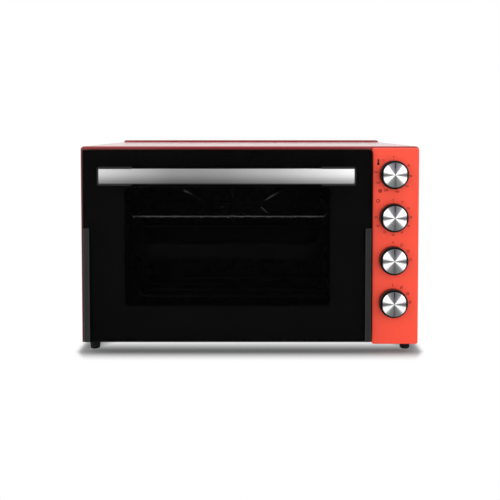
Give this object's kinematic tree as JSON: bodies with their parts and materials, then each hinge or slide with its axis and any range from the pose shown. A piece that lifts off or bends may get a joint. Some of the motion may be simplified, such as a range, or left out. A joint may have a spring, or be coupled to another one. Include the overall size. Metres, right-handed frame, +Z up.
{
  "type": "electric oven",
  "caption": "Countertop electric oven with a drop-down glass door, bar handle, side control panel with round knobs, a wire rack and a tray in a fan-assisted cavity.",
  "frame": {"origin": "on the counter under the middle of the whole oven, handle and raised back included", "axes": "+X to the right seen from the front, the front faces -Y, +Z up"},
  "size_m": [0.59, 0.4618, 0.3647],
  "materials": {
    "red_paint": "gloss red coat on sheet steel",
    "panel_red": "satin bright red coat with small dark dial prints",
    "zinc_steel": "dull zinc-coated sheet",
    "control_metal": "dull plated cases",
    "black_enamel": "black satin enamel",
    "cavity_enamel": "dark speckled vitreous enamel",
    "element_sheath": "matt sheath with heat tint",
    "chromed_wire": "bright wire",
    "spun_metal": "face with fine circular turning marks",
    "knob_plastic": "black moulding",
    "shaft_steel": "turned",
    "fan_steel": "stamped sheet",
    "motor_metal": "laminated stack",
    "switch_plastic": "heat-resistant moulding",
    "black_glass": "toughened, black border printed behind, tinted window",
    "clear_glass": "clear pane",
    "trim_plastic": "fine-grained moulding",
    "brushed_bar": "brushed along its length",
    "hinge_steel": "zinc plated",
    "black_rubber": "matt"
  },
  "bodies": {
    "housing": {"outer_cover": "red_paint", "rear_panel": "red_paint", "control_panel": "panel_red", "base_plate": "zinc_steel", "partition_wall": "zinc_steel", "thermostat": "control_metal", "timer": "control_metal", "front_frame": "black_enamel", "liner_wrap": "cavity_enamel", "liner_side_left": "cavity_enamel", "liner_side_right": "cavity_enamel", "baking_tray": "cavity_enamel", "fan_cover": "cavity_enamel", "upper_heating_element": "element_sheath", "lower_heating_element": "element_sheath", "wire_rack": "chromed_wire", "fan_motor": "motor_metal", "function_switch": "switch_plastic", "fan_switch": "switch_plastic", "terminal_block": "switch_plastic", "hinge_bracket_left": "hinge_steel", "hinge_bracket_right": "hinge_steel", "foot_front_left": "black_rubber", "foot_front_right": "black_rubber", "foot_rear_left": "black_rubber", "foot_rear_right": "black_rubber", "cord_gland": "black_rubber"},
    "door": {"door_glass": "black_glass", "door_inner_frame": "black_enamel", "door_inner_glass": "clear_glass", "door_side_profile_left": "trim_plastic", "door_side_profile_right": "trim_plastic", "door_handle": "brushed_bar", "handle_bracket_left": "trim_plastic", "handle_bracket_right": "trim_plastic", "hinge_pin_left": "hinge_steel", "hinge_pin_right": "hinge_steel", "hinge_spring_left": "hinge_steel", "hinge_spring_right": "hinge_steel"},
    "fan": {"fan_blade": "fan_steel", "fan_shaft": "shaft_steel"},
    "thermostat_control": {"thermostat_knob": "knob_plastic", "thermostat_knob_cap": "spun_metal", "thermostat_shaft": "shaft_steel"},
    "timer_control": {"timer_knob": "knob_plastic", "timer_knob_cap": "spun_metal", "timer_shaft": "shaft_steel"},
    "function_control": {"function_knob": "knob_plastic", "function_knob_cap": "spun_metal", "function_shaft": "shaft_steel"},
    "fan_select_control": {"fan_select_knob": "knob_plastic", "fan_select_knob_cap": "spun_metal", "fan_select_shaft": "shaft_steel"}
  },
  "joints": [
    {"name": "door_hinge", "type": "hinge", "parent": "housing", "child": "door", "pos_m": [-0.0384, -0.18695, 0.0305], "axis": [1, 0, 0], "range_deg": [0, 85], "stiffness_Nm_per_rad": 1.6, "springref_deg": -57.3},
    {"name": "thermostat_turn", "type": "hinge", "parent": "housing", "child": "thermostat_control", "pos_m": [0.2477, -0.18725, 0.3127], "axis": [0, 1, 0], "range_deg": [0, 285]},
    {"name": "timer_turn", "type": "hinge", "parent": "housing", "child": "timer_control", "pos_m": [0.2477, -0.18725, 0.23863], "axis": [0, 1, 0], "range_deg": [0, 285]},
    {"name": "function_turn", "type": "hinge", "parent": "housing", "child": "function_control", "pos_m": [0.2477, -0.18725, 0.16457], "axis": [0, 1, 0], "range_deg": [0, 90]},
    {"name": "fan_select_turn", "type": "hinge", "parent": "housing", "child": "fan_select_control", "pos_m": [0.2477, -0.18725, 0.0905], "axis": [0, 1, 0], "range_deg": [0, 90]},
    {"name": "fan_spin", "type": "hinge", "parent": "housing", "child": "fan", "pos_m": [-0.039, 0.15705, 0.21998], "axis": [0, 1, 0], "continuous": true}
  ]
}
